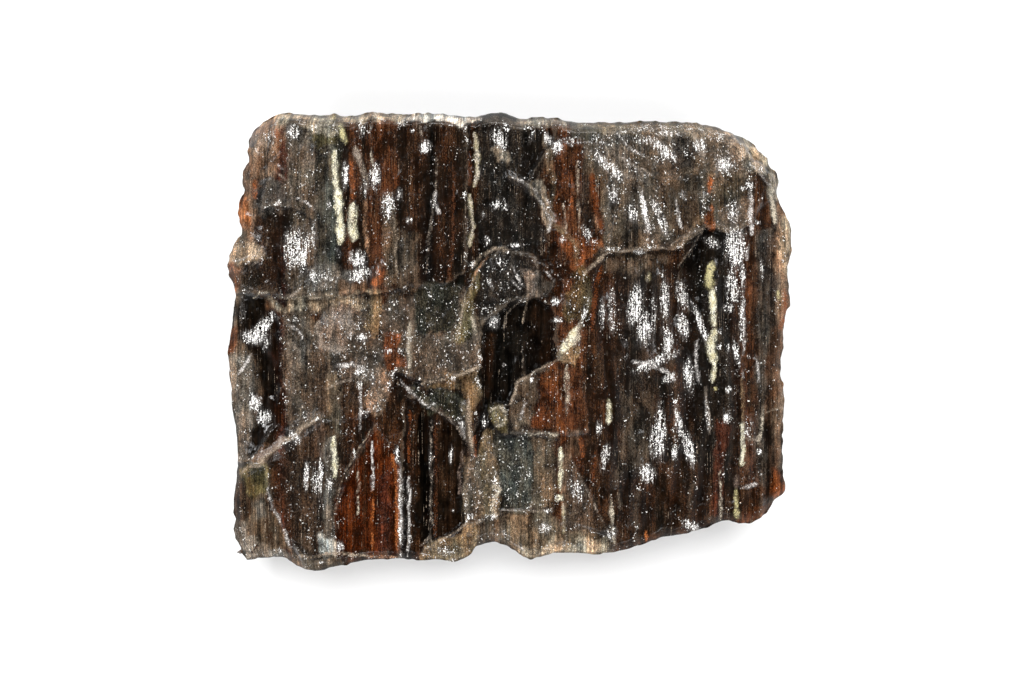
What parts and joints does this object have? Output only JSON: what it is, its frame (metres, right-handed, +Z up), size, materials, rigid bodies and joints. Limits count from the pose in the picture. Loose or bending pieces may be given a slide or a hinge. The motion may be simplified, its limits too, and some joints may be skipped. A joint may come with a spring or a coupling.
{
  "type": "obsidian specimen",
  "caption": "Rough slab of flow-banded brown and black obsidian with a ledged, rippled broken face, chipped rims and a flat back to lie on.",
  "frame": {"origin": "on the ground, under the middle of the slab as it lies", "axes": "+X along the slab's long side, +Z up; the broken face looks up and leans 10 degrees towards -Y"},
  "size_m": [0.1201, 0.0995, 0.0398],
  "materials": {
    "obsidian": "glassy broken surface, banded black, mahogany and grey-brown with cream streaks"
  },
  "bodies": {
    "root": {"obsidian_slab": "obsidian"}
  },
  "joints": []
}
